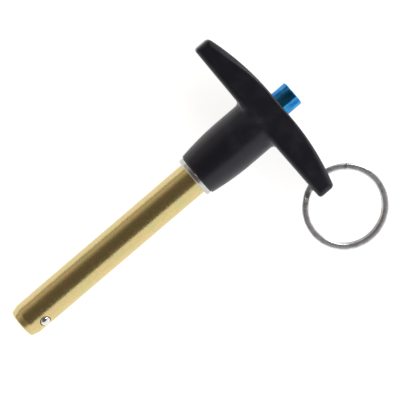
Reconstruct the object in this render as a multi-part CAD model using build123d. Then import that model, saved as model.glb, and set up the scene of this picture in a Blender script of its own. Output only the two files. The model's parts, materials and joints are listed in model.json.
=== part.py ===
"""Ball lock pin with a moulded T handle, a release button and a split ring.

Every piece is drawn in the pin's own frame: Z along the shank towards the button with 0 under the
washer, Y along the handle towards the ring's arm, X out of the handle's flat side. The last section
lays the pin down as it rests on a table: shank's tip, barrel and ring arm touch the table, and the
ring's far side has dropped on it. The origin stays on the shank's axis, under the washer.
"""

import math
import os

from build123d import *

# ---- shank: steel, turned and drilled from the handle end
SHANK_R = 12.70 / 2  # the half-inch size that the pin is sold by
GRIP_LENGTH = 71.12  # full diameter, from the washer to the ball end
RELIEF_LENGTH = 0.70  # fine taper from the full diameter to the ball end
RELIEF_DEPTH = 0.05  # the ball end is this much smaller in radius, so staked lips never scrape
SHANK_LENGTH = 81.2  # from the washer to the flat of the nose
NOSE_LENGTH = 2.9  # lead-in taper
NOSE_DROP = 0.8  # radius lost over the lead-in
NOSE_EDGE_R = 0.8
NECK_R = 5.5  # pressed into the moulding and through the washer
HEAD_TOP = 20.0  # flat end inside the handle, where the spring stands
BARB_DEPTH = 0.35
BARB_PITCH = 3.0
BARB_COUNT = 4
BARB_START = 5.0
SPINDLE_BORE_R = 3.4
BORE_FLOOR = 1.5  # steel left in front of the blind bore

# ---- locking balls and their radial holes
BALL_R = 2.0
BALL_BACK = 7.7  # ball centre, behind the nose's flat
BALL_PROUD = 1.15  # how far a ball stands out when locked
BALL_TRAVEL = 1.20  # how far it drops in when the button is pressed
BALL_CLEARANCE = 0.03
BALL_COUNT = 2
BALL_ANGLE = 43.0  # first ball, turned from the handle's flat side towards the ring's arm

# ---- spindle: steel rod, pressed into the button
SPINDLE_R = 3.0
LAND_GAP = 0.15  # between the land and a locked ball
LAND_LENGTH = 1.7
LAND_REACH = 0.2  # the land's edge, past the ball's centre
GROOVE_GAP = 0.10  # between the groove and a dropped ball
GROOVE_RUN_OUT = 0.15
SPINDLE_PRESS_DEPTH = 7.0  # length held in the button

# ---- release button: turned aluminium
BUTTON_R = 4.83
BUTTON_PROUD = 6.45  # above the handle
BUTTON_TRAVEL = 4.5
BUTTON_FLANGE_R = 5.3
BUTTON_FLANGE_T = 2.0
BUTTON_EDGE = 0.35
BUTTON_CLEARANCE = 0.10

# ---- return spring
WIRE_R = 0.45
SPRING_R = 4.45  # to the middle of the wire
SPRING_TURNS = 5.5
SPRING_CLEARANCE = 0.02

# ---- shoulder washer
WASHER_R = 7.9
WASHER_T = 2.0
WASHER_EDGE = 0.5
WASHER_CLEARANCE = 0.05
SEAT_DEPTH = 0.10  # shallow recess that centres the washer on the shank's step

# ---- T handle: one moulding
HANDLE_TOP = 40.8
TOP_LAND = 6.2  # half the flat on top, round the button
ARM_REACH = 34.75  # from the axis to the end of an arm
ARM_END_HEIGHT = 6.435  # flat end face, before its rims are rounded
ARM_UNDERSIDE = 29.75
ARM_DRAFT = 0.6  # degrees that the underside rises outwards
ARM_ROOT_DEPTH = 8.9  # half thickness, at the axis
ARM_END_DEPTH = 7.0  # half thickness, at the end
ARM_EDGE_R = 2.0
ARM_CORNER_R = 3.0  # end corners, seen along the axis
BARREL_R = 9.79
BARREL_END_R = 8.35  # where the barrel meets the washer
BARREL_TALLEST = 19.3  # where the barrel is widest
BARREL_SHOULDER = 28.0  # where it starts to melt into the arms
BARREL_SHOULDER_R = 14.0
BARREL_EDGE_R = 0.8
ARMPIT_R = 1.7
LIP_T = 3.5  # wall over the button's flange

# ---- split ring: flat spring strip, one full turn and part of a second on top of it
RING_HOLE_R = 2.25
RING_HOLE_INSET = 5.15  # hole's middle, in from the end of the arm
RING_HOLE_EDGE = 0.5
RING_R = 14.75  # to the middle of the strip
STRIP_W = 2.45
STRIP_T = 1.20
STRIP_EDGE = 0.35
TURN_GAP = 0.05
RING_PULL = 0.45  # the strip's bow inside the hole, so that it clears the mouths evenly
RING_RISE = 1.1  # ring's centre, above the middle of the hole
UPPER_START = 40.2  # degrees round the ring from the arm to the upper turn's free end
UPPER_SPAN = 274.0
STEP_SPAN = 20.0  # where the strip drops from the upper turn to the lower
END_GAP = 2.0  # between the lower turn's free end and the step
TABLE_GAP = 0.05

# ---- how edges are picked out for rounding
NEARBY = 1.0  # an edge this close to a place belongs to it
MOSTLY = 0.9  # least share of an edge's direction for it to count as running that way

# ---- places that follow from the sizes
nose_z = -SHANK_LENGTH
ball_z = nose_z + BALL_BACK
ball_end_r = SHANK_R - RELIEF_DEPTH
lead_in_z = nose_z + NOSE_LENGTH
ball_out = ball_end_r + BALL_PROUD - BALL_R  # ball centre's radius, locked
land_r = ball_out - BALL_R - LAND_GAP
groove_r = ball_out - BALL_TRAVEL - BALL_R - GROOVE_GAP
land_top = ball_z + LAND_REACH
spindle_end = land_top - LAND_LENGTH
groove_top = ball_z + BUTTON_TRAVEL + BALL_R + GROOVE_RUN_OUT
cavity_top = HANDLE_TOP - LIP_T
button_top = HANDLE_TOP + BUTTON_PROUD
flange_z = cavity_top - BUTTON_FLANGE_T
draft = math.tan(math.radians(ARM_DRAFT))
arm_end_bottom = ARM_UNDERSIDE + ARM_REACH * draft
arm_end_top = arm_end_bottom + ARM_END_HEIGHT
top_drop, top_run = HANDLE_TOP - arm_end_top, ARM_REACH - TOP_LAND
top_arc_r = (top_run**2 + top_drop**2) / (2 * top_drop)
ring_hole_y = ARM_REACH - RING_HOLE_INSET
barrel_drop = BARREL_R - BARREL_END_R
barrel_rise = BARREL_TALLEST - WASHER_T
barrel_arc_r = (barrel_rise**2 + barrel_drop**2) / (2 * barrel_drop)
hole_bottom = ARM_UNDERSIDE + ring_hole_y * draft
hole_top = HANDLE_TOP - top_arc_r + math.sqrt(top_arc_r**2 - (ring_hole_y - TOP_LAND) ** 2)
ring_z = (hole_bottom + hole_top) / 2 + RING_RISE
ring_reach = RING_R - RING_PULL  # hinge line to the ring's centre


def turned(outline):
    """A turned piece: an outline of (radius, z) points on the axis, spun round it."""
    return revolve(Plane.XZ * make_face(Polyline(*outline, close=True)), Axis.Z)


def make_neck(foot_z):
    """The shank's pressed neck with its sawtooth barbs, which the moulding closes on."""
    neck = turned([(0, foot_z), (NECK_R, foot_z), (NECK_R, HEAD_TOP), (0, HEAD_TOP)])
    for k in range(BARB_COUNT):
        low = BARB_START + k * BARB_PITCH
        top = low + BARB_PITCH / 2
        neck -= turned([(NECK_R - BARB_DEPTH, low), (NECK_R, low), (NECK_R, top)])
    return neck


def make_shank():
    """Step, grip, ball end and tapered nose, with a barbed neck, a blind bore and ball holes."""
    body = turned([
        (0, nose_z),
        (ball_end_r - NOSE_DROP, nose_z),
        (ball_end_r, lead_in_z),
        (ball_end_r, -GRIP_LENGTH - RELIEF_LENGTH),
        (SHANK_R, -GRIP_LENGTH),
        (SHANK_R, SEAT_DEPTH),
        (0, SEAT_DEPTH),
    ])
    nose_edge = body.edges().filter_by(GeomType.CIRCLE).group_by(Axis.Z)[0]
    body = fillet(nose_edge, NOSE_EDGE_R) + make_neck(SEAT_DEPTH)
    bore_z = nose_z + BORE_FLOOR
    body -= Pos(0, 0, bore_z) * extrude(Circle(SPINDLE_BORE_R), HEAD_TOP - bore_z)
    hole_r = BALL_R + BALL_CLEARANCE
    for place in ball_places():
        body -= place * (extrude(Circle(hole_r), ball_out) + Pos(0, 0, ball_out) * Sphere(hole_r))
    return body


def ball_places():
    """One frame for each ball: at its height on the axis, with Z pointing out through its hole."""
    for k in range(BALL_COUNT):
        turn = BALL_ANGLE + k * 360 / BALL_COUNT
        yield Pos(0, 0, ball_z) * Rot(0, 0, turn) * Rot(0, 90, 0)


def make_spindle():
    """Stem, groove that lets the balls drop, ramp, and the land that holds them out."""
    ramp = land_r - groove_r
    outline = [
        (0, spindle_end),
        (land_r, spindle_end),
        (land_r, land_top),
        (groove_r, land_top + ramp),
        (groove_r, groove_top),
        (SPINDLE_R, groove_top + SPINDLE_R - groove_r),
        (SPINDLE_R, flange_z + SPINDLE_PRESS_DEPTH),
        (0, flange_z + SPINDLE_PRESS_DEPTH),
    ]
    return turned(outline)


def make_button():
    """Cap with a stop flange under the handle's lip, drilled for the spindle."""
    outline = [
        (SPINDLE_R, flange_z),
        (BUTTON_FLANGE_R, flange_z),
        (BUTTON_FLANGE_R, cavity_top),
        (BUTTON_R, cavity_top),
        (BUTTON_R, button_top - BUTTON_EDGE),
        (BUTTON_R - BUTTON_EDGE, button_top),
        (0, button_top),
        (0, flange_z + SPINDLE_PRESS_DEPTH),
        (SPINDLE_R, flange_z + SPINDLE_PRESS_DEPTH),
    ]
    return turned(outline)


def make_spring():
    """Round wire wound at an even pitch between the shank's head and the button's flange."""
    length = flange_z - HEAD_TOP - 2 * (WIRE_R + SPRING_CLEARANCE)
    start = HEAD_TOP + WIRE_R + SPRING_CLEARANCE
    coil = Pos(0, 0, start) * Helix(length / SPRING_TURNS, length, SPRING_R)
    return sweep(Plane(coil @ 0, z_dir=coil % 0) * Circle(WIRE_R), coil, is_frenet=True)


def make_washer():
    """Flat washer with rounded rims and a shallow centring recess underneath."""
    bore_r = NECK_R + WASHER_CLEARANCE
    ring = extrude(Circle(WASHER_R) - Circle(bore_r), WASHER_T)
    rims = ring.edges().filter_by(GeomType.CIRCLE).sort_by(SortBy.RADIUS)[-2:]
    ring = fillet(rims, WASHER_EDGE)
    return ring - extrude(Circle(SHANK_R + WASHER_CLEARANCE), SEAT_DEPTH)


def arm_side():
    """The arms' outline on YZ: drafted underside, straight ends and two long arcs up to a flat."""
    half = Curve() + [
        Line((0, ARM_UNDERSIDE), (ARM_REACH, arm_end_bottom)),
        Line((ARM_REACH, arm_end_bottom), (ARM_REACH, arm_end_top)),
        RadiusArc((ARM_REACH, arm_end_top), (TOP_LAND, HANDLE_TOP), -top_arc_r),
        Line((TOP_LAND, HANDLE_TOP), (0, HANDLE_TOP)),
        Line((0, HANDLE_TOP), (0, ARM_UNDERSIDE)),
    ]
    side = make_face(half.edges())
    return Plane.YZ * (side + mirror(side, Plane.YZ))


def arm_plan():
    """The arms' outline seen along the axis: two long arcs, thickest at the middle, and square ends."""
    right = ThreePointArc((ARM_END_DEPTH, -ARM_REACH), (ARM_ROOT_DEPTH, 0), (ARM_END_DEPTH, ARM_REACH))
    left = ThreePointArc((-ARM_END_DEPTH, ARM_REACH), (-ARM_ROOT_DEPTH, 0), (-ARM_END_DEPTH, -ARM_REACH))
    plan = make_face(Curve() + [right, Line(right @ 1, left @ 0), left, Line(left @ 1, right @ 0)])
    return fillet(plan.vertices(), ARM_CORNER_R)


def make_arms():
    """The side outline crossed with the plan outline, then the rims of top and underside rounded."""
    arms = extrude(arm_side(), 2 * ARM_ROOT_DEPTH, both=True) & extrude(arm_plan(), 2 * HANDLE_TOP)
    upright = [e for e in arms.edges() if abs(e.tangent_at(0.5).Z) > MOSTLY]
    across = [e for e in arms.edges() if abs(e.tangent_at(0.5).X) > MOSTLY and abs(e.center().Y) < ARM_REACH - ARM_CORNER_R]
    rims = [e for e in arms.edges() if e not in upright and e not in across]
    return fillet(rims, ARM_EDGE_R)


def make_barrel():
    """The boss: a shallow barrel from the washer, with a shoulder that melts into the arms."""
    shoulder_top = (ARM_UNDERSIDE + 4 * HANDLE_TOP) / 5
    shoulder_run = shoulder_top - BARREL_SHOULDER
    shoulder_end_r = BARREL_R - BARREL_SHOULDER_R + math.sqrt(BARREL_SHOULDER_R**2 - shoulder_run**2)
    outline = Curve() + [
        Line((0, WASHER_T), (BARREL_END_R, WASHER_T)),
        RadiusArc((BARREL_END_R, WASHER_T), (BARREL_R, BARREL_TALLEST), -barrel_arc_r),
        Line((BARREL_R, BARREL_TALLEST), (BARREL_R, BARREL_SHOULDER)),
        RadiusArc((BARREL_R, BARREL_SHOULDER), (shoulder_end_r, shoulder_top), -BARREL_SHOULDER_R),
        Line((shoulder_end_r, shoulder_top), (0, shoulder_top)),
        Line((0, shoulder_top), (0, WASHER_T)),
    ]
    barrel = revolve(Plane.XZ * make_face(outline.edges()), Axis.Z)
    foot = barrel.edges().filter_by(GeomType.CIRCLE).group_by(Axis.Z)[0]
    return fillet(foot, BARREL_EDGE_R)


def make_handle():
    """Arms and barrel in one moulding, with armpit fillets, a stepped bore and the ring's hole."""
    body = make_arms() + make_barrel()
    pits = [e for e in body.edges() if abs((e @ 0.5).Z - ARM_UNDERSIDE) < NEARBY
            and BARREL_R / 2 < abs((e @ 0.5).Y) < BARREL_R + NEARBY and abs((e @ 0.5).X) < NEARBY]
    body = fillet(pits, ARMPIT_R)
    body -= make_neck(WASHER_T)
    body -= Pos(0, 0, HEAD_TOP) * extrude(Circle(NECK_R), cavity_top - HEAD_TOP)
    body -= Pos(0, 0, cavity_top) * extrude(Circle(BUTTON_R + BUTTON_CLEARANCE), LIP_T)
    body -= Pos(0, ring_hole_y, 0) * extrude(Circle(RING_HOLE_R), HANDLE_TOP)
    mouths = [e for e in body.edges() if abs((e @ 0.5).Y - ring_hole_y) < RING_HOLE_R + NEARBY / 2
              and abs(e.center().Y - ring_hole_y) < NEARBY and e.length > RING_HOLE_R]
    return fillet(mouths, RING_HOLE_EDGE)


def strip(start, span, level):
    """A stretch of the ring's strip, flat at one level, from one angle round the ring to another."""
    section = Plane.XZ * Pos(RING_R, level) * RectangleRounded(STRIP_W, STRIP_T, STRIP_EDGE)
    return Rot(0, 0, start) * revolve(section, Axis.Z, span)


def make_ring():
    """Lower turn, the step up through one strip thickness, and the upper turn, as one strip.

    Ring frame: X towards the arm, Y towards the button, Z down to the table, 0 in the lower turn.
    """
    lift = STRIP_T + TURN_GAP
    step_start = UPPER_START + UPPER_SPAN
    lower_start = step_start + STEP_SPAN
    upper = strip(UPPER_START, UPPER_SPAN, -lift)
    lower = strip(lower_start, 360 - STEP_SPAN - END_GAP, 0)
    path = Rot(0, 0, step_start) * Pos(0, 0, -lift) * Helix(lift * 360 / STEP_SPAN, lift, RING_R)
    section = Plane.XZ * Pos(RING_R, -lift) * RectangleRounded(STRIP_W, STRIP_T, STRIP_EDGE)
    step = sweep(Rot(0, 0, step_start) * section, path, normal=(0, 0, 1))
    return lower + step + upper


# ---- how it lies: the table touches the shank's tip, the barrel's side and the ring arm's flat side
tip_to_arc = (BARREL_TALLEST - lead_in_z, BARREL_R - barrel_arc_r - ball_end_r)
pitch = math.atan2(tip_to_arc[1], tip_to_arc[0]) + math.asin(barrel_arc_r / math.hypot(*tip_to_arc))
table = ball_end_r * math.cos(pitch) - lead_in_z * math.sin(pitch)  # its depth under the washer's middle
flank_arc_r = (ARM_REACH**2 + (ARM_ROOT_DEPTH - ARM_END_DEPTH) ** 2) / (2 * (ARM_ROOT_DEPTH - ARM_END_DEPTH))
flank_z = ARM_UNDERSIDE + ARM_EDGE_R
flank_drop = (table + flank_z * math.sin(pitch)) / math.cos(pitch)
roll = math.acos((flank_arc_r - flank_drop) / (flank_arc_r - ARM_ROOT_DEPTH))
hinge_height = table + ring_z * math.sin(pitch) - ring_hole_y * math.sin(roll) * math.cos(pitch)
far_side = (ring_reach + RING_R + STRIP_W / 2, STRIP_T / 2)
lean = math.asin((hinge_height - TABLE_GAP) / math.cos(pitch) / math.hypot(*far_side))
droop = lean - math.atan2(far_side[1], far_side[0]) - roll  # ring's plane, below the handle's

along = Vector(math.cos(pitch), 0, math.sin(pitch))
level_out = Vector(-math.sin(pitch), 0, math.cos(pitch))
out = level_out * math.cos(roll) + along.cross(level_out) * math.sin(roll)
laid = Plane(origin=(0, 0, 0), x_dir=out, z_dir=along).location
ring_out = Vector(-math.sin(droop), math.cos(droop), 0)
ring_down = Vector(-math.cos(droop), -math.sin(droop), 0)
ring_place = Plane(origin=Vector(0, ring_hole_y, ring_z) + ring_out * ring_reach, x_dir=-ring_out,
                   z_dir=ring_down).location

pieces = {
    "t_handle": make_handle(),
    "shank": make_shank(),
    "shoulder_washer": make_washer(),
    "spindle": make_spindle(),
    "release_button": make_button(),
    "return_spring": make_spring(),
    "split_ring": ring_place * make_ring(),
}
for name, place in zip(["locking_ball_front", "locking_ball_rear"], ball_places()):
    pieces[name] = place * Pos(0, 0, ball_out) * Sphere(BALL_R)

os.makedirs("parts", exist_ok=True)
for name, piece in pieces.items():
    export_step(laid * piece, f"parts/{name}.step")
    print(name, "volume", round(piece.volume, 1))
print("pitch", round(math.degrees(pitch), 3), "roll", round(math.degrees(roll), 3),
      "droop", round(math.degrees(droop), 3), "table", round(-table, 3))
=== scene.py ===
"""Ball lock pin lying on a pale table: steel shank, T handle, push button and split ring.

Lengths are in metres. Every piece is drawn in the pin's own directions: along the shank towards the
button, side towards the arm that carries the ring, and out of the handle's flat side that faces up.
"""

import json
import math

import bmesh
import bpy
import numpy as np
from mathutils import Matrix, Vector


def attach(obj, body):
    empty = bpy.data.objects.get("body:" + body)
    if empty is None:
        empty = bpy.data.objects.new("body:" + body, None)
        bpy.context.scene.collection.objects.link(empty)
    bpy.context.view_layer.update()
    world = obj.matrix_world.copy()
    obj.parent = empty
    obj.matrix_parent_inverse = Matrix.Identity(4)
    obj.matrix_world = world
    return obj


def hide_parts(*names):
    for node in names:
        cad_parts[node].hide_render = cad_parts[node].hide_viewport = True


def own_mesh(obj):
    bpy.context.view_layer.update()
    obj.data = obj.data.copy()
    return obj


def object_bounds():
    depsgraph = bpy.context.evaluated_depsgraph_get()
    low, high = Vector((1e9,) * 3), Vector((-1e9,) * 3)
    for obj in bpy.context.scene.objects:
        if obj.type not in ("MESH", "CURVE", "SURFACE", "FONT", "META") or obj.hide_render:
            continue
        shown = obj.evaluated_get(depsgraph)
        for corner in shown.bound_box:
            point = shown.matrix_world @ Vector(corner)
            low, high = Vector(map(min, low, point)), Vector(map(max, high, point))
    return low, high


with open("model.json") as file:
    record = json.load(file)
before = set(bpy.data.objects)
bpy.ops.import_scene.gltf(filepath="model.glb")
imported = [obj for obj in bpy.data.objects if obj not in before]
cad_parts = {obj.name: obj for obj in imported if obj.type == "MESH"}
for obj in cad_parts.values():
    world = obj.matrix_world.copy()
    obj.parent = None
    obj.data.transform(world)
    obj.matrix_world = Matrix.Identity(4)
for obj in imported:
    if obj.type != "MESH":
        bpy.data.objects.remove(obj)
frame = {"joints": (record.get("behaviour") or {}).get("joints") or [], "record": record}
cad_low, cad_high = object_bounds()
MM = 0.001

# ---- table
# A light table: a pale translucent sheet that glows a little from below, so that shadows on it
# stay faint. It is not part of the pin.
TABLE_SIZE = 3.0
TABLE_COLOUR = (0.55, 0.55, 0.55, 1.0)
TABLE_GLOW = 0.86

table_height = cad_low[2]
corner = TABLE_SIZE / 2
table_mesh = bpy.data.meshes.new("light_table")
table_mesh.from_pydata(
    [
        (-corner, -corner, table_height),
        (corner, -corner, table_height),
        (corner, corner, table_height),
        (-corner, corner, table_height),
    ],
    [],
    [(0, 1, 2, 3)],
)
table_sheet = bpy.data.materials.new("table_sheet")
table_sheet.use_nodes = True
sheet_shader = table_sheet.node_tree.nodes["Principled BSDF"]
sheet_shader.inputs["Base Color"].default_value = TABLE_COLOUR
sheet_shader.inputs["Roughness"].default_value = 0.9
sheet_shader.inputs["Specular IOR Level"].default_value = 0.0
sheet_shader.inputs["Emission Color"].default_value = (1.0, 1.0, 1.0, 1.0)
sheet_shader.inputs["Emission Strength"].default_value = TABLE_GLOW
table_mesh.materials.append(table_sheet)
light_table = bpy.data.objects.new("light_table", table_mesh)
bpy.context.scene.collection.objects.link(light_table)

# ---- studio light
# A pale room with a dark ceiling. Its walls brighten from the ceiling down to the floor, the wall on
# the ring arm's side is a large lit screen with a sharp upper edge, and a narrow strip light stands
# beyond the button. Each stop is an angle in degrees, the brightness there, and how warm it is.
WALL_BY_TILT = [
    (0, 0.13, 1.1),
    (36, 0.16, 1.1),
    (50, 0.34, 1.0),
    (62, 0.64, 0.8),
    (74, 0.60, 0.7),
    (86, 0.40, 0.4),
    (180, 0.42, 0.0),
]
SCREEN_BY_LEAN = [(-180, 0.0, 0.0), (39, 0.0, 0.0), (44, 1.10, 0.0), (112, 1.10, 0.0), (180, 0.4, 0.0)]
WARM_LOSS = (0.0, 0.16, 0.30)  # share of red, green and blue that warm light lacks
STRIP_PLACE = (0.50, 0.02, 0.33)
STRIP_SIZE = (0.55, 0.05)
STRIP_POWER = 1.5


def angle_ramp(nodes, links, angle, first, stops):
    """Light by an angle in radians: a straight ramp through stops given in degrees from first to 180."""
    share = nodes.new("ShaderNodeMapRange")
    share.inputs["From Min"].default_value = math.radians(first)
    share.inputs["From Max"].default_value = math.pi
    links.new(angle, share.inputs["Value"])
    ramp = nodes.new("ShaderNodeValToRGB")
    while len(ramp.color_ramp.elements) < len(stops):
        ramp.color_ramp.elements.new(0.5)
    for element, (turn, level, warmth) in zip(ramp.color_ramp.elements, stops):
        element.position = (turn - first) / (180 - first)
        element.color = (*(level * (1 - warmth * loss) for loss in WARM_LOSS), 1.0)
    links.new(share.outputs["Result"], ramp.inputs["Fac"])
    return ramp.outputs["Color"]


def angle_node(nodes, links, operation, first, second=None):
    """An angle worked out from one or two numbers."""
    angle = nodes.new("ShaderNodeMath")
    angle.operation = operation
    links.new(first, angle.inputs[0])
    if second is not None:
        links.new(second, angle.inputs[1])
    return angle.outputs["Value"]


room = bpy.data.worlds.new("room")
bpy.context.scene.world = room
room.use_nodes = True
room_nodes, room_links = room.node_tree.nodes, room.node_tree.links
facing = room_nodes.new("ShaderNodeTexCoord")
split = room_nodes.new("ShaderNodeSeparateXYZ")
room_links.new(facing.outputs["Generated"], split.inputs["Vector"])
across = room_nodes.new("ShaderNodeMath")
across.operation = "MULTIPLY"
across.inputs[1].default_value = -1.0
room_links.new(split.outputs["Y"], across.inputs[0])
tilt = angle_node(room_nodes, room_links, "ARCCOSINE", split.outputs["Z"])
lean = angle_node(room_nodes, room_links, "ARCTAN2", across.outputs["Value"], split.outputs["Z"])
brighter = room_nodes.new("ShaderNodeMix")
brighter.data_type = "RGBA"
brighter.blend_type = "LIGHTEN"
brighter.inputs["Factor"].default_value = 1.0
room_links.new(angle_ramp(room_nodes, room_links, tilt, 0, WALL_BY_TILT), brighter.inputs[6])
room_links.new(angle_ramp(room_nodes, room_links, lean, -180, SCREEN_BY_LEAN), brighter.inputs[7])
room_links.new(brighter.outputs[2], room_nodes["Background"].inputs["Color"])

strip_data = bpy.data.lights.new("strip_light", "AREA")
strip_data.shape = "RECTANGLE"
strip_data.size, strip_data.size_y = STRIP_SIZE
strip_data.energy = STRIP_POWER
strip_light = bpy.data.objects.new("strip_light", strip_data)
strip_light.location = STRIP_PLACE
strip_light.rotation_euler = (-Vector(STRIP_PLACE)).to_track_quat("-Z", "X").to_euler()
bpy.context.scene.collection.objects.link(strip_light)

# ---- camera
# Straight above the pin, turned so that the shank points to the lower left of the picture.
CAMERA_PLACE = (-0.0032, -0.0076, 0.727)
CAMERA_TURN = -40.45  # degrees
CAMERA_LENS = 181.9  # millimetres, on a sensor 36 mm wide
camera_data = bpy.data.cameras.new("camera")
camera_data.lens = CAMERA_LENS
camera_data.sensor_width = 36.0
camera = bpy.data.objects.new("camera", camera_data)
camera.location = CAMERA_PLACE
camera.rotation_euler = (0.0, 0.0, math.radians(CAMERA_TURN))
bpy.context.scene.collection.objects.link(camera)
bpy.context.scene.camera = camera
bpy.context.scene.view_settings.view_transform = "Standard"

# ---- shank
# Steel bar, turned, drilled up the middle and yellow zinc plated. Its barbed neck is pressed through
# the washer into the handle. Two holes near the nose are staked over the balls.
GRIP_R = 6.35
BALL_END_R = 6.30
NOSE_Z = -81.2
LEAD_IN_Z = -78.3
NOSE_DROP = 0.8
NOSE_EDGE_R = 0.8
RELIEF_Z = (-71.82, -71.12)
STEP_Z = 0.10
NECK_R = 5.5
HEAD_Z = 20.0
BARB_DEPTH = 0.35
BARB_STARTS = (5.0, 8.0, 11.0, 14.0)
BARB_RISE = 1.5
STEP_EDGE = 0.12
BORE_EDGE = 0.15
BORE_R = 3.4
BORE_END_Z = -79.7
BALL_Z = -73.5
BALL_TURNS = (43.0, 223.0)  # degrees from out towards side
SHANK_COLUMNS = 192

grip = next(m for m in frame["record"]["mounts"] if m["name"] == "shank_grip")
swing = next(j for j in frame["joints"] if j["name"] == "ring_swing")
along = -np.array(grip["axis"], float)
hinge = np.array(swing["pos_m"], float)
side = hinge - along * hinge.dot(along)
side /= np.linalg.norm(side)
out = np.cross(side, along)
pin_origin = np.array(grip["pos_m"], float)
pin_pitch = math.atan2(along[2], along[0])


def laid(points):
    """Points as (out, side, along) in millimetres, put where the pin lies, in metres."""
    return pin_origin + (points @ np.array([out, side, along])) * MM


def arc(centre, radius, start, end, count):
    """Points on a circle from one angle to another, in degrees: centre + radius (cos, sin)."""
    turn = np.radians(np.linspace(start, end, count))
    return np.stack([centre[0] + radius * np.cos(turn), centre[1] + radius * np.sin(turn)], axis=1)


def spaced(corners, step):
    """A profile through corner points, with points no further apart than step on every straight."""
    corners = np.array(corners, float)
    runs = []
    for a, b in zip(corners[:-1], corners[1:]):
        count = max(1, math.ceil(np.linalg.norm(b - a) / step))
        runs.append(a + (b - a) * np.arange(count)[:, None] / count)
    return np.vstack(runs + [corners[-1:]])


def lathe(profile, columns):
    """A profile of (radius, height) points spun round the axis: (r cos t, r sin t, z)."""
    turn = np.linspace(0, 2 * np.pi, columns, endpoint=False)[None, :]
    radius, height = profile[:, :1], profile[:, 1:]
    return np.stack([radius * np.cos(turn), radius * np.sin(turn), height + 0 * turn], axis=-1)


def grid_faces(rows, columns, ring_rows=False):
    """Quads between neighbouring points of a grid that closes on itself round its columns."""
    last = rows if ring_rows else rows - 1
    i, j = np.meshgrid(np.arange(last), np.arange(columns), indexing="ij")
    i2, j2 = (i + 1) % rows, (j + 1) % columns
    corners = [i * columns + j, i * columns + j2, i2 * columns + j2, i2 * columns + j]
    return np.stack(corners, axis=-1).reshape(-1, 4)


def piece(name, points, faces, material, body, node, sharp=40.0):
    """A mesh object from points and faces: doubles merged, faces turned outwards, shaded smooth."""
    mesh = bpy.data.meshes.new(name)
    mesh.from_pydata(np.asarray(points).reshape(-1, 3).tolist(), [], np.asarray(faces).tolist())
    shape = bmesh.new()
    shape.from_mesh(mesh)
    bmesh.ops.remove_doubles(shape, verts=shape.verts, dist=1e-6)
    bmesh.ops.dissolve_degenerate(shape, edges=shape.edges, dist=1e-8)
    bmesh.ops.recalc_face_normals(shape, faces=shape.faces)
    shape.to_mesh(mesh)
    shape.free()
    mesh.shade_smooth()
    mesh.set_sharp_from_angle(angle=math.radians(sharp))
    mesh.materials.append(material)
    thing = bpy.data.objects.new(name, mesh)
    bpy.context.scene.collection.objects.link(thing)
    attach(thing, body)
    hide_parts(node)
    return thing


def new_finish(name):
    """An empty procedural finish: the material, its nodes, its links and its shader."""
    material = bpy.data.materials.new(name)
    material.use_nodes = True
    nodes, links = material.node_tree.nodes, material.node_tree.links
    return material, nodes, links, nodes["Principled BSDF"]


def pattern(nodes, links, size, detail=2.0, rough=0.5):
    """Noise whose grains are size millimetres along, across and up from the pin's axis."""
    place = nodes.new("ShaderNodeTexCoord")
    turn = nodes.new("ShaderNodeMapping")
    turn.vector_type = "TEXTURE"
    turn.inputs["Rotation"].default_value = (0.0, -pin_pitch, 0.0)
    turn.inputs["Scale"].default_value = [s * MM for s in size]
    grain = nodes.new("ShaderNodeTexNoise")
    grain.inputs["Scale"].default_value = 1.0
    grain.inputs["Detail"].default_value = detail
    grain.inputs["Roughness"].default_value = rough
    links.new(place.outputs["Object"], turn.inputs["Vector"])
    links.new(turn.outputs["Vector"], grain.inputs["Vector"])
    return grain.outputs["Fac"]


def spread(nodes, links, value, low, high, to_low, to_high):
    """The stretch of a value between low and high, spread out from to_low to to_high."""
    reach = nodes.new("ShaderNodeMapRange")
    for socket, number in zip(("From Min", "From Max", "To Min", "To Max"), (low, high, to_low, to_high)):
        reach.inputs[socket].default_value = number
    links.new(value, reach.inputs["Value"])
    return reach.outputs["Result"]


def tint(nodes, links, share, first, second):
    """A colour between two others, each given as an RGB triple or as another node's colour."""
    mix = nodes.new("ShaderNodeMix")
    mix.data_type = "RGBA"
    links.new(share, mix.inputs["Factor"])
    for socket, colour in ((mix.inputs[6], first), (mix.inputs[7], second)):
        if isinstance(colour, tuple):
            socket.default_value = (*colour, 1.0)
        else:
            links.new(colour, socket)
    return mix.outputs[2]


def relief(nodes, links, shader, height, depth, strength=1.0, over=None):
    """Fine relief on a finish: a height pattern, its depth in millimetres, over any relief before it."""
    bump = nodes.new("ShaderNodeBump")
    bump.inputs["Strength"].default_value = strength
    bump.inputs["Distance"].default_value = depth * MM
    links.new(height, bump.inputs["Height"])
    if over is not None:
        links.new(over, bump.inputs["Normal"])
    links.new(bump.outputs["Normal"], shader.inputs["Normal"])
    return bump.outputs["Normal"]


ZINC_GOLD = (0.67, 0.54, 0.25)
ZINC_GREENISH = (0.58, 0.545, 0.24)
ZINC_ROSE = (0.66, 0.46, 0.25)

yellow_zinc, nodes, links, shader = new_finish("yellow_zinc")
patches = spread(nodes, links, pattern(nodes, links, (5, 2.5, 2.5), 3.0), 0.42, 0.62, 0.0, 1.0)
blush = spread(nodes, links, pattern(nodes, links, (1.4, 0.8, 0.8), 3.0), 0.48, 0.66, 0.0, 0.9)
colour = tint(nodes, links, patches, ZINC_GOLD, ZINC_GREENISH)
links.new(tint(nodes, links, blush, colour, ZINC_ROSE), shader.inputs["Base Color"])
turning = pattern(nodes, links, (0.10, 6, 6), 2.0)
mottle = pattern(nodes, links, (0.9, 0.5, 0.5), 3.0)
links.new(spread(nodes, links, mottle, 0.3, 0.7, 0.17, 0.30), shader.inputs["Roughness"])
ridges = relief(nodes, links, shader, turning, 0.0020)
relief(nodes, links, shader, mottle, 0.024, over=ridges)
shader.inputs["Metallic"].default_value = 1.0

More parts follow.
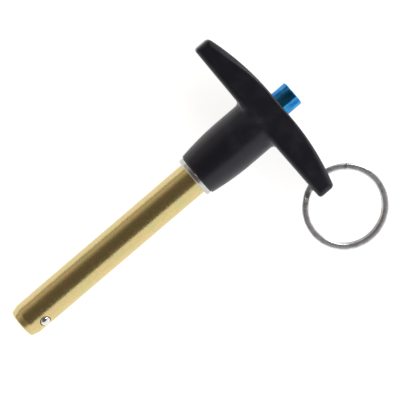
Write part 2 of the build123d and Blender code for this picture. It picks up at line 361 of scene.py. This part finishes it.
def wall_radius(height):
    """The outer radius at a height on the ball end, the fine taper or the grip."""
    return np.interp(height, RELIEF_Z, (BALL_END_R, GRIP_R))


def outside_rows():
    """Rows of (radius, height) from the middle of the nose to the head inside the handle."""
    slope = math.degrees(math.atan2(LEAD_IN_Z - NOSE_Z, NOSE_DROP))
    back = NOSE_EDGE_R / math.tan(math.radians(180 - slope) / 2)
    edge_middle = (BALL_END_R - NOSE_DROP - back, NOSE_Z + NOSE_EDGE_R)
    edge = arc(edge_middle, NOSE_EDGE_R, -90, slope - 90, 9)
    nose = spaced([(0, NOSE_Z), edge[0]], 1.0)[:-1]
    lead_in = spaced([edge[-1], (BALL_END_R, LEAD_IN_Z), (BALL_END_R, patch_z[0])], 0.5)[1:-1]
    patch = np.stack([wall_radius(patch_z), patch_z], axis=1)
    neck = [(GRIP_R - STEP_EDGE, STEP_Z), (NECK_R, STEP_Z)]
    for low in BARB_STARTS:
        neck += [(NECK_R, low), (NECK_R - BARB_DEPTH, low), (NECK_R, low + BARB_RISE)]
    grip_ends = [(GRIP_R, patch_z[-1]), (GRIP_R, STEP_Z - STEP_EDGE)]
    grip_rows = spaced(grip_ends + neck + [(NECK_R, HEAD_Z)], 3.0)[1:]
    rows = np.vstack([nose, edge, lead_in, patch, grip_rows])
    return rows, len(nose) + len(edge) + len(lead_in)


def inside_rows():
    """Rows from the head back down the bore to the middle of its floor."""
    mouth = [(BORE_R + BORE_EDGE, HEAD_Z), (BORE_R, HEAD_Z - BORE_EDGE)]
    above = spaced(mouth + [(BORE_R, patch_z[-1])], 3.0)[:-1]
    patch = np.stack([0 * patch_z + BORE_R, patch_z[::-1]], axis=1)
    below = spaced([(BORE_R, patch_z[0]), (BORE_R, BORE_END_Z), (0, BORE_END_Z)], 1.0)[1:]
    return np.vstack([above, patch, below]), len(above)


def patch_loop(first_row, rows, middle_column, upwards):
    """Grid indices and turns round the edge of a rectangle of cells, anticlockwise seen from outside."""
    half = PATCH_COLUMNS
    last = rows - 1
    i = np.r_[np.zeros(2 * half, int), np.arange(last), np.full(2 * half, last), np.arange(last, 0, -1)]
    j = np.r_[np.arange(-half, half), np.full(last, half), np.arange(half, -half, -1), np.full(last, -half)]
    i = i if upwards else last - i
    index = (first_row + i) * SHANK_COLUMNS + (middle_column + j) % SHANK_COLUMNS
    return index, j * 2 * np.pi / SHANK_COLUMNS


def rim_reach(angle):
    """Where the ball's seat breaks through the outer wall, by halving: distance from the hole's axis."""
    near, far = np.full_like(angle, 0.5), np.full_like(angle, BALL_SEAT_R)
    for _ in range(40):
        reach = (near + far) / 2
        wall = np.sqrt(wall_radius(BALL_Z + reach * np.sin(angle)) ** 2 - (reach * np.cos(angle)) ** 2)
        seat = BALL_OUT + np.sqrt(BALL_SEAT_R**2 - reach**2)
        near, far = np.where(seat > wall, reach, near), np.where(seat > wall, far, reach)
    return reach


def hole_loops(turn, radius_of, reach, loops):
    """Loops on a round wall that change from a rectangle's edge to a hole's rim, as (x, t, z).

    Each point runs straight, in the wall's unrolled sheet, from the rectangle's edge to the rim.
    """
    edge_t, edge_z = radius_of(patch_edge_z) * np.sin(turn), patch_edge_z - BALL_Z
    angle = np.arctan2(edge_z, edge_t)
    ease = (np.arange(1, loops + 1) / loops)[:, None]
    t = edge_t + (reach(angle) * np.cos(angle) - edge_t) * ease
    z = BALL_Z + edge_z + (reach(angle) * np.sin(angle) - edge_z) * ease
    bead = STAKE_BEAD * np.exp(-(((np.hypot(t, z - BALL_Z) - reach(angle)) / STAKE_WIDTH) ** 2))
    return angle, np.stack([np.sqrt(radius_of(z) ** 2 - t**2) + bead, t, z], axis=-1)


BALL_SEAT_R = 2.22  # wider than the ball, so that a dark gap shows round it
BALL_OUT = 5.45  # from the axis to a ball's middle
STAKE_BEAD = 0.03  # height of the metal raised round a hole
STAKE_WIDTH = 0.45
PATCH_REACH = 2.8  # how far the finer cells round a hole run along the shank
PATCH_COLUMNS = 22
PATCH_ROWS = 29
patch_z = np.linspace(BALL_Z - PATCH_REACH, BALL_Z + PATCH_REACH, PATCH_ROWS)
outside, patch_row = outside_rows()
inside, bore_patch_row = inside_rows()
bore_patch_row += len(outside)
shank_rows = np.vstack([outside, inside])
shank_grid = lathe(shank_rows, SHANK_COLUMNS)
shank_points = [shank_grid.reshape(-1, 3)]
shank_faces = grid_faces(len(shank_rows), SHANK_COLUMNS)
cell_row, cell_column = shank_faces[:, 0] // SHANK_COLUMNS, shank_faces[:, 0] % SHANK_COLUMNS
shank_count = len(shank_points[0])
keep = np.ones(len(shank_faces), bool)
hole_faces = []
for ball in range(2):
    middle_column = ball * SHANK_COLUMNS // 2
    from_middle = (cell_column - middle_column + SHANK_COLUMNS // 2) % SHANK_COLUMNS - SHANK_COLUMNS // 2
    across = (from_middle >= -PATCH_COLUMNS) & (from_middle < PATCH_COLUMNS)
    for first in (patch_row, bore_patch_row):
        keep &= ~(across & (cell_row >= first) & (cell_row < first + PATCH_ROWS - 1))
    outer_edge, turn = patch_loop(patch_row, PATCH_ROWS, middle_column, True)
    inner_edge, _ = patch_loop(bore_patch_row, PATCH_ROWS, middle_column, False)
    patch_edge_z = shank_rows[outer_edge // SHANK_COLUMNS, 1]
    outer_angle, outer_loops = hole_loops(turn, wall_radius, rim_reach, 8)
    inner_angle, inner_loops = hole_loops(turn, lambda z: BORE_R + 0 * z, lambda a: BALL_SEAT_R + 0 * a, 3)
    inner_loops[..., 0] = np.sqrt(BORE_R**2 - inner_loops[..., 1] ** 2)
    seat_start = np.arcsin(rim_reach(outer_angle) / BALL_SEAT_R)
    seat_turn = seat_start + (np.pi / 2 - seat_start) * np.linspace(0, 1, 7)[1:, None]
    seat_loops = np.stack(
        [
            BALL_OUT + BALL_SEAT_R * np.cos(seat_turn),
            BALL_SEAT_R * np.sin(seat_turn) * np.cos(outer_angle),
            BALL_Z + BALL_SEAT_R * np.sin(seat_turn) * np.sin(outer_angle),
        ],
        axis=-1,
    )
    loops = np.concatenate([outer_loops, seat_loops, inner_loops[::-1]])
    spin = ball * np.pi
    x, t, z = np.moveaxis(loops, -1, 0)
    spun = [x * np.cos(spin) - t * np.sin(spin), x * np.sin(spin) + t * np.cos(spin), z]
    shank_points.append(np.stack(spun, axis=-1).reshape(-1, 3))
    new = shank_count + np.arange(loops.shape[0] * loops.shape[1]).reshape(loops.shape[:2])
    shank_count += new.size
    chain = np.vstack([outer_edge, new, inner_edge])
    ahead = np.roll(chain, -1, axis=1)
    hole_faces.append(np.stack([chain[:-1], ahead[:-1], ahead[1:], chain[1:]], axis=-1).reshape(-1, 4))

ball_turn = math.radians(BALL_TURNS[0])
turned_points = np.vstack(shank_points)
turned_points = np.stack(
    [
        turned_points[:, 0] * math.cos(ball_turn) - turned_points[:, 1] * math.sin(ball_turn),
        turned_points[:, 0] * math.sin(ball_turn) + turned_points[:, 1] * math.cos(ball_turn),
        turned_points[:, 2],
    ],
    axis=1,
)
piece(
    "plated_shank",
    laid(turned_points),
    np.vstack([shank_faces[keep]] + hole_faces),
    yellow_zinc,
    "pin_body",
    "shank",
)

# ---- shoulder washer
# Plain steel washer, bright zinc plated, that takes the thrust of the clamped plates. The shank's
# step sits in a shallow recess under it and the handle is moulded down onto it.
WASHER_R = 7.9
WASHER_T = 2.0
WASHER_EDGE_R = 0.5
WASHER_BORE_R = 5.55
RECESS_R = 6.40
RECESS_DEPTH = 0.10
RECESS_EDGE = 0.02
WASHER_BORE_EDGE = 0.15
WASHER_COLUMNS = 160
ZINC_BRIGHT = (0.60, 0.61, 0.60)
ZINC_DULL = (0.50, 0.50, 0.48)

under_edge = arc((WASHER_R - WASHER_EDGE_R, WASHER_EDGE_R), WASHER_EDGE_R, -90, 0, 8)
over_edge = arc((WASHER_R - WASHER_EDGE_R, WASHER_T - WASHER_EDGE_R), WASHER_EDGE_R, 0, 90, 8)
washer_rows = np.vstack(
    [
        [(WASHER_BORE_R, RECESS_DEPTH), (RECESS_R, RECESS_DEPTH)],
        [(RECESS_R, RECESS_EDGE), (RECESS_R + RECESS_EDGE, 0.0)],
        under_edge,
        over_edge,
        [(WASHER_BORE_R + WASHER_BORE_EDGE, WASHER_T), (WASHER_BORE_R, WASHER_T - WASHER_BORE_EDGE)],
    ]
)

bright_zinc, nodes, links, shader = new_finish("bright_zinc")
cloud = spread(nodes, links, pattern(nodes, links, (1.5, 3, 3), 3.0), 0.35, 0.65, 0.0, 1.0)
links.new(tint(nodes, links, cloud, ZINC_BRIGHT, ZINC_DULL), shader.inputs["Base Color"])
rolled = pattern(nodes, links, (0.06, 3, 3), 3.0)
links.new(spread(nodes, links, rolled, 0.3, 0.7, 0.20, 0.36), shader.inputs["Roughness"])
relief(nodes, links, shader, rolled, 0.004)
shader.inputs["Metallic"].default_value = 1.0

piece(
    "thrust_washer",
    laid(lathe(washer_rows, WASHER_COLUMNS)),
    grid_faces(len(washer_rows), WASHER_COLUMNS, ring_rows=True),
    bright_zinc,
    "pin_body",
    "shoulder_washer",
)

# ---- locking balls
# Bearing balls, ground and polished, one in each staked hole. They drop inwards as the button
# goes in.
BALL_R = 2.0
BALL_COLUMNS = 64
BALL_NODES = (("front_ball", "locking_ball_front"), ("rear_ball", "locking_ball_rear"))
BALL_POLISHED = (0.78, 0.78, 0.79)
BALL_HAZY = (0.66, 0.66, 0.68)

ball_steel, nodes, links, shader = new_finish("ball_steel")
haze = spread(nodes, links, pattern(nodes, links, (0.8, 0.8, 0.8), 3.0), 0.45, 0.70, 0.0, 1.0)
links.new(tint(nodes, links, haze, BALL_POLISHED, BALL_HAZY), shader.inputs["Base Color"])
links.new(spread(nodes, links, haze, 0.0, 1.0, 0.05, 0.12), shader.inputs["Roughness"])
shader.inputs["Metallic"].default_value = 1.0

ball_rows = arc((0, 0), BALL_R, -90, 90, BALL_COLUMNS // 2 + 1)
ball_shape = lathe(ball_rows, BALL_COLUMNS)
for degrees, (ball_body, ball_node) in zip(BALL_TURNS, BALL_NODES):
    turn = math.radians(degrees)
    ball_place = np.array([BALL_OUT * math.cos(turn), BALL_OUT * math.sin(turn), BALL_Z])
    piece(
        ball_body + "_bearing",
        laid(ball_shape + ball_place),
        grid_faces(len(ball_rows), BALL_COLUMNS),
        ball_steel,
        ball_body,
        ball_node,
    )

# ---- spindle
# Ground steel rod pressed into the button. Its groove lets the balls drop and its land, at the
# nose end, holds them out.
SPINDLE_R = 3.0
SPINDLE_TOP_Z = 42.3
SPINDLE_EDGE = 0.2
STEM_END_Z = -66.0
GROOVE_R = 2.15
GROOVE_Z = (-72.15, -66.85)
LAND_R = 3.30
LAND_Z = (-75.0, -73.3)
LAND_EDGE = 0.15
SPINDLE_COLUMNS = 96
STEEL_GROUND = (0.58, 0.58, 0.58)
STEEL_OILED = (0.55, 0.57, 0.61)

spindle_rows = spaced(
    [
        (0, LAND_Z[0]),
        (LAND_R - LAND_EDGE, LAND_Z[0]),
        (LAND_R, LAND_Z[0] + LAND_EDGE),
        (LAND_R, LAND_Z[1]),
        (GROOVE_R, GROOVE_Z[0]),
        (GROOVE_R, GROOVE_Z[1]),
        (SPINDLE_R, STEM_END_Z),
        (SPINDLE_R, SPINDLE_TOP_Z - SPINDLE_EDGE),
        (SPINDLE_R - SPINDLE_EDGE, SPINDLE_TOP_Z),
        (0, SPINDLE_TOP_Z),
    ],
    6.0,
)

ground_steel, nodes, links, shader = new_finish("spindle_steel")
oiled = spread(nodes, links, pattern(nodes, links, (9, 3, 3), 3.0), 0.45, 0.65, 0.0, 1.0)
links.new(tint(nodes, links, oiled, STEEL_GROUND, STEEL_OILED), shader.inputs["Base Color"])
grinding = pattern(nodes, links, (0.08, 4, 4), 2.0)
links.new(spread(nodes, links, grinding, 0.3, 0.7, 0.18, 0.32), shader.inputs["Roughness"])
relief(nodes, links, shader, grinding, 0.002)
shader.inputs["Metallic"].default_value = 1.0

piece(
    "ball_spindle",
    laid(lathe(spindle_rows, SPINDLE_COLUMNS)),
    grid_faces(len(spindle_rows), SPINDLE_COLUMNS),
    ground_steel,
    "plunger",
    "spindle",
)

# ---- release button
# Turned aluminium cap, anodised blue, with a flange that stops under the handle's lip. A narrow
# bevel runs round its face and fine tool marks run round its side.
BUTTON_R = 4.83
BUTTON_TOP_Z = 47.25
BUTTON_BEVEL = 0.35
FLANGE_R = 5.3
FLANGE_Z = (35.3, 37.3)
FLANGE_EDGE = 0.1
BUTTON_COLUMNS = 160
ANODISED_BLUE = (0.034, 0.295, 0.63)
ANODISED_DEEP = (0.016, 0.14, 0.40)

button_rows = spaced(
    [
        (0, SPINDLE_TOP_Z),
        (SPINDLE_R, SPINDLE_TOP_Z),
        (SPINDLE_R, FLANGE_Z[0]),
        (FLANGE_R - FLANGE_EDGE, FLANGE_Z[0]),
        (FLANGE_R, FLANGE_Z[0] + FLANGE_EDGE),
        (FLANGE_R, FLANGE_Z[1]),
        (BUTTON_R, FLANGE_Z[1]),
        (BUTTON_R, BUTTON_TOP_Z - BUTTON_BEVEL),
        (BUTTON_R - BUTTON_BEVEL, BUTTON_TOP_Z),
        (0, BUTTON_TOP_Z),
    ],
    1.5,
)

blue_anodised, nodes, links, shader = new_finish("blue_anodised")
depth_of_dye = spread(nodes, links, pattern(nodes, links, (4, 1.2, 1.2), 3.0), 0.40, 0.62, 0.0, 1.0)
links.new(tint(nodes, links, depth_of_dye, ANODISED_BLUE, ANODISED_DEEP), shader.inputs["Base Color"])
tooling = pattern(nodes, links, (0.12, 8, 8), 2.0)
links.new(spread(nodes, links, tooling, 0.3, 0.7, 0.08, 0.15), shader.inputs["Roughness"])
relief(nodes, links, shader, tooling, 0.0015)
shader.inputs["Metallic"].default_value = 1.0

piece(
    "push_button",
    laid(lathe(button_rows, BUTTON_COLUMNS)),
    grid_faces(len(button_rows), BUTTON_COLUMNS),
    blue_anodised,
    "plunger",
    "release_button",
    sharp=30.0,
)

# ---- return spring
# Music wire wound round the spindle between the shank's head and the button's flange, hidden in
# the handle. It pushes the button out.
WIRE_R = 0.45
SPRING_R = 4.45
SPRING_TURNS = 5.5
SPRING_Z = (20.47, 34.83)  # height of the wire's middle at each end
SPRING_STATIONS = 400
WIRE_COLUMNS = 20
WIRE_BRIGHT = (0.42, 0.42, 0.43)
WIRE_DARK = (0.24, 0.23, 0.24)

spring_steel, nodes, links, shader = new_finish("spring_steel")
drawn = pattern(nodes, links, (0.25, 0.25, 0.25), 3.0)
links.new(tint(nodes, links, drawn, WIRE_BRIGHT, WIRE_DARK), shader.inputs["Base Color"])
links.new(spread(nodes, links, drawn, 0.3, 0.7, 0.22, 0.40), shader.inputs["Roughness"])
shader.inputs["Metallic"].default_value = 1.0


def swept(path, across, up, section):
    """A section carried along a path: each path point + section x times across + section y times up.

    The section shrinks to a point at both ends over three rows, which rounds and closes them.
    """
    ahead = np.gradient(path, axis=0)
    ahead /= np.linalg.norm(ahead, axis=1, keepdims=True)
    size = np.abs(section).max()
    closing = np.array([0.0, 0.80, 0.96])
    bulge = np.array([0.22, 0.20, 0.12])[:, None] * size
    path = np.vstack([path[:1] - ahead[:1] * bulge, path, path[-1:] + ahead[-1:] * bulge[::-1]])
    across, up = (np.vstack([v[:1]] * 3 + [v] + [v[-1:]] * 3) for v in (across, up))
    scale = np.r_[closing, np.ones(len(path) - 6), closing[::-1]][:, None, None]
    x, y = section[None, :, :1], section[None, :, 1:]
    return path[:, None] + scale * (x * across[:, None] + y * up[:, None])


coil_turn = np.linspace(0, 2 * np.pi * SPRING_TURNS, SPRING_STATIONS)
coil_rise = np.linspace(*SPRING_Z, SPRING_STATIONS)
outwards = np.stack([np.cos(coil_turn), np.sin(coil_turn), 0 * coil_turn], axis=1)
coil_path = SPRING_R * outwards + np.stack([0 * coil_rise, 0 * coil_rise, coil_rise], axis=1)
wire_up = np.cross(np.gradient(coil_path, axis=0), outwards)
wire_up /= np.linalg.norm(wire_up, axis=1, keepdims=True)
coil_points = swept(coil_path, outwards, wire_up, arc((0, 0), WIRE_R, 0, 360, WIRE_COLUMNS + 1)[:-1])
spring = piece(
    "button_spring",
    laid(coil_points),
    grid_faces(len(coil_points), WIRE_COLUMNS),
    spring_steel,
    "pin_body",
    "return_spring",
)
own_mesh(spring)

# ---- split ring
# Flat stainless spring strip with rounded edges, coiled nearly twice round, one turn lying on the
# other. The strip steps down from the upper turn to the lower one, and both ends are cut round.
RING_R = 14.75
STRIP_W = 2.45
STRIP_T = 1.20
STRIP_EDGE_R = 0.55
TURN_GAP = 0.05
UPPER_START = 40.2  # degrees round the ring, from the arm towards the button
UPPER_SPAN = 274.0
STEP_SPAN = 20.0
END_GAP = 2.0
RING_STATIONS = 720
RING_REACH = 14.3  # from the hinge to the ring's middle
CROWN = 0.22  # share of the thickness lost towards the strip's edges
SPRING_OUT = 0.30  # how far the upper turn's free end stands out
SETTLE_SPAN = 14.0  # degrees in which that free end comes most of the way in
LOWER_TURN_IN = 0.10  # how much tighter the lower turn is
STAINLESS = (0.74, 0.76, 0.80)
STAINLESS_DARK = (0.55, 0.57, 0.61)

record_loop = next(m for m in frame["record"]["mounts"] if m["name"] == "lanyard_ring")
ring_up = np.array(record_loop["axis"], float)
ring_away = np.cross(ring_up, along)
ring_away *= np.sign(ring_away.dot(side))
ring_away /= np.linalg.norm(ring_away)
ring_middle = hinge + ring_away * RING_REACH * MM

ring_span = UPPER_SPAN + 360 - END_GAP
ring_turn = np.linspace(0, ring_span, RING_STATIONS)
fallen = np.clip((ring_turn - UPPER_SPAN) / STEP_SPAN, 0, 1)
fallen = fallen * fallen * (3 - 2 * fallen)
ring_level = (1 - fallen) * (STRIP_T + TURN_GAP)
angle = np.radians(UPPER_START + ring_turn)
ring_spoke = -np.cos(angle)[:, None] * ring_away + np.sin(angle)[:, None] * along
ring_reach = RING_R + SPRING_OUT * np.exp(-ring_turn / SETTLE_SPAN) - LOWER_TURN_IN * fallen
ring_path = ring_reach[:, None] * ring_spoke + ring_level[:, None] * ring_up
strip_up = np.cross(np.gradient(ring_path, axis=0), ring_spoke)
strip_up /= np.linalg.norm(strip_up, axis=1, keepdims=True)
strip_up *= np.sign(strip_up[:1] @ ring_up)
bend_w, bend_t = STRIP_W / 2 - STRIP_EDGE_R, STRIP_T / 2 - STRIP_EDGE_R
strip_corners = ((1, -1, -90), (1, 1, 0), (-1, 1, 90), (-1, -1, 180))
strip_section = np.vstack(
    [arc((x * bend_w, y * bend_t), STRIP_EDGE_R, start, start + 90, 7) for x, y, start in strip_corners]
)
strip_section[:, 1] *= 1 - CROWN * (2 * strip_section[:, 0] / STRIP_W) ** 2
ring_points = swept(ring_path, ring_spoke, strip_up, strip_section)

ring_steel, nodes, links, shader = new_finish("ring_steel")
tumbled = spread(nodes, links, pattern(nodes, links, (2.5, 2.5, 2.5), 4.0), 0.38, 0.66, 0.0, 1.0)
links.new(tint(nodes, links, tumbled, STAINLESS, STAINLESS_DARK), shader.inputs["Base Color"])
dents = pattern(nodes, links, (0.35, 0.35, 0.35), 2.0)
links.new(spread(nodes, links, dents, 0.3, 0.7, 0.25, 0.38), shader.inputs["Roughness"])
relief(nodes, links, shader, dents, 0.008)
shader.inputs["Metallic"].default_value = 1.0

piece(
    "lanyard_split_ring",
    ring_middle + ring_points * MM,
    grid_faces(len(ring_points), len(strip_section)),
    ring_steel,
    "ring",
    "split_ring",
)

# ---- T handle
# One black nylon moulding, shot round the shank's barbed neck: a shallow barrel that melts into two
# tapered arms, with a stepped bore for the button and a hole through one arm for the ring.
HANDLE_TOP_Z = 40.8
TOP_LAND = 6.2
TOP_ARC_R = 97.995
ARM_REACH = 34.75
UNDERSIDE_Z = 29.75
UNDERSIDE_DRAFT = math.radians(0.6)
ARM_ROOT_DEPTH = 8.9
FLANK_ARC_R = 318.73
END_CORNER_R = 1.2
EDGE_R = (0.75, 2.2)  # rounding of the arms' rims beside the button, and out at their ends
EDGE_RUN = (8.0, 28.0)  # where along the arm that rounding grows
LOWER_EDGE_R = 2.0
BARREL_R = 9.79
BARREL_ARC_R = 104.64
BARREL_TALLEST_Z = 19.3
SHOULDER_Z = 28.0
SHOULDER_R = 14.0
FOOT_Z = 2.0
FOOT_EDGE_R = 0.3
MELT = 2.0  # how far the barrel and the arms run into each other
NECK_BORE_R = 5.5
CAVITY_TOP_Z = 37.3
BUTTON_BORE_R = 4.93
BORE_EDGE_R = 0.3
RING_HOLE_R = 2.25
RING_HOLE_Y = 29.6
RING_HOLE_EDGE_R = 0.5
SKIN_STEP = 0.35  # spacing of the mesh, before it is drawn onto the true surface
SKIN_MARGIN = np.array([1.03, 1.02, 1.01])  # uneven, so that no flat face lies on a layer of cubes
MOULDING_BLACK = (0.0095, 0.0105, 0.0185)
MOULDING_WORN = (0.016, 0.017, 0.027)


def round_both(a, b, radius):
    """Inside both: the larger depth, with a convex edge of that radius where the two meet."""
    u, v = np.maximum(radius + a, 0), np.maximum(radius + b, 0)
    return np.minimum(-radius, np.maximum(a, b)) + np.hypot(u, v)


def arms_depth(x, y, z):
    """Distance outside the arms: flanks and top are long arcs, the ends flat, the underside drafted."""
    y = np.abs(y)
    flank = np.hypot(np.abs(x) + FLANK_ARC_R - ARM_ROOT_DEPTH, y) - FLANK_ARC_R
    top = np.hypot(np.maximum(y - TOP_LAND, 0), z + TOP_ARC_R - HANDLE_TOP_Z) - TOP_ARC_R
    grow = np.clip((y - EDGE_RUN[0]) / (EDGE_RUN[1] - EDGE_RUN[0]), 0, 1)
    edge = EDGE_R[0] + (EDGE_R[1] - EDGE_R[0]) * grow * grow * (3 - 2 * grow)
    under = (UNDERSIDE_Z - z) * math.cos(UNDERSIDE_DRAFT) + y * math.sin(UNDERSIDE_DRAFT)
    outline = round_both(round_both(y - ARM_REACH, top, END_CORNER_R), under, END_CORNER_R)
    return round_both(flank, outline, np.where(top > under, edge, LOWER_EDGE_R))


def barrel_depth(x, y, z):
    """Distance outside the barrel: a long arc, a straight, and a shoulder arc that turns inwards."""
    reach = np.hypot(x, y)
    low = np.hypot(reach + BARREL_ARC_R - BARREL_R, np.minimum(z - BARREL_TALLEST_Z, 0)) - BARREL_ARC_R
    high = np.hypot(reach + SHOULDER_R - BARREL_R, np.maximum(z - SHOULDER_Z, 0)) - SHOULDER_R
    wall = np.where(z < BARREL_TALLEST_Z, low, high)
    return round_both(round_both(wall, FOOT_Z - z, FOOT_EDGE_R), z - HANDLE_TOP_Z + MELT, MELT)


def slope_of(depth, x, y, z, step=0.02):
    """How a distance changes along x, y and z, by central differences."""
    return np.stack(
        [
            depth(x + step, y, z) - depth(x - step, y, z),
            depth(x, y + step, z) - depth(x, y - step, z),
            depth(x, y, z + step) - depth(x, y, z - step),
        ]
    ) / (2 * step)


def handle_depth(x, y, z):
    """Arms and barrel melted together, less the stepped bore and the ring's hole.

    The melt is wide where the two meet square on, in the armpits, and narrow where they are level.
    """
    arms, barrel = arms_depth(x, y, z), barrel_depth(x, y, z)
    level = (slope_of(arms_depth, x, y, z) * slope_of(barrel_depth, x, y, z)).sum(axis=0)
    melt = MELT * np.clip(1.3 - level, 0.3, 1.0)
    near = np.maximum(melt - np.abs(arms - barrel), 0)
    body = np.minimum(arms, barrel) - near * near / (4 * melt)
    from_axis = np.hypot(x, y)
    wide = np.maximum(from_axis - NECK_BORE_R, z - CAVITY_TOP_Z)
    bore = np.minimum(wide, from_axis - BUTTON_BORE_R)
    ring_hole = np.hypot(x, y - RING_HOLE_Y) - RING_HOLE_R
    return round_both(round_both(body, -bore, BORE_EDGE_R), -ring_hole, RING_HOLE_EDGE_R)


def skin(depth, low, high, step):
    """The surface where a depth is nil, as points and quads.

    Space is cut into cubes. Each cube that the surface crosses gets one point, at the middle of the
    crossings on its edges, and each crossed edge gets a quad between its four cubes. The points are
    then moved onto the surface, along the depth's slope.
    """
    axes = [np.arange(a, b + step, step) for a, b in zip(low, high)]
    values = depth(*np.meshgrid(*axes, indexing="ij"))
    counts = np.array(values.shape) - 1
    total = np.zeros((*counts, 3))
    hits = np.zeros(counts)
    quads = []
    for axis in range(3):
        first = np.moveaxis(values, axis, 0)[:-1]
        second = np.moveaxis(values, axis, 0)[1:]
        crossed = np.moveaxis((first < 0) != (second < 0), 0, axis)
        share = np.moveaxis(first / np.where(first == second, 1, first - second), 0, axis)
        where = np.argwhere(crossed)
        point = where.astype(float)
        point[:, axis] += share[crossed]
        others = [k for k in range(3) if k != axis]
        ring = []
        for da, db in ((0, 0), (1, 0), (1, 1), (0, 1)):
            cube = where.copy()
            cube[:, others[0]] -= da
            cube[:, others[1]] -= db
            np.add.at(total, tuple(cube.T), point)
            np.add.at(hits, tuple(cube.T), 1)
            ring.append(np.ravel_multi_index(tuple(cube.T), counts))
        quads.append(np.stack(ring, axis=1))
    used = hits > 0
    number = np.cumsum(used.ravel()) - 1
    points = np.array(low) + total[used] / hits[used][:, None] * step
    for _ in range(6):
        slope = slope_of(depth, *points.T)
        length = np.maximum((slope * slope).sum(axis=0), 0.05)
        points -= np.clip(depth(*points.T) / length, -step / 2, step / 2)[:, None] * slope.T
    return points, number[np.vstack(quads)]


black_moulding, nodes, links, shader = new_finish("black_moulding")
rubbed = spread(nodes, links, pattern(nodes, links, (6, 6, 6), 4.0), 0.45, 0.70, 0.0, 1.0)
links.new(tint(nodes, links, rubbed, MOULDING_BLACK, MOULDING_WORN), shader.inputs["Base Color"])
blasted = pattern(nodes, links, (0.30, 0.30, 0.30), 3.0)
links.new(spread(nodes, links, rubbed, 0.0, 1.0, 0.30, 0.42), shader.inputs["Roughness"])
relief(nodes, links, shader, blasted, 0.03)
shader.inputs["Specular IOR Level"].default_value = 0.36

handle_points, handle_faces = skin(
    handle_depth,
    np.array([-BARREL_R, -ARM_REACH, FOOT_Z]) - SKIN_MARGIN,
    np.array([BARREL_R, ARM_REACH, HANDLE_TOP_Z]) + 1.0,
    SKIN_STEP,
)
piece(
    "moulded_handle",
    laid(handle_points),
    handle_faces,
    black_moulding,
    "pin_body",
    "t_handle",
    sharp=60.0,
)
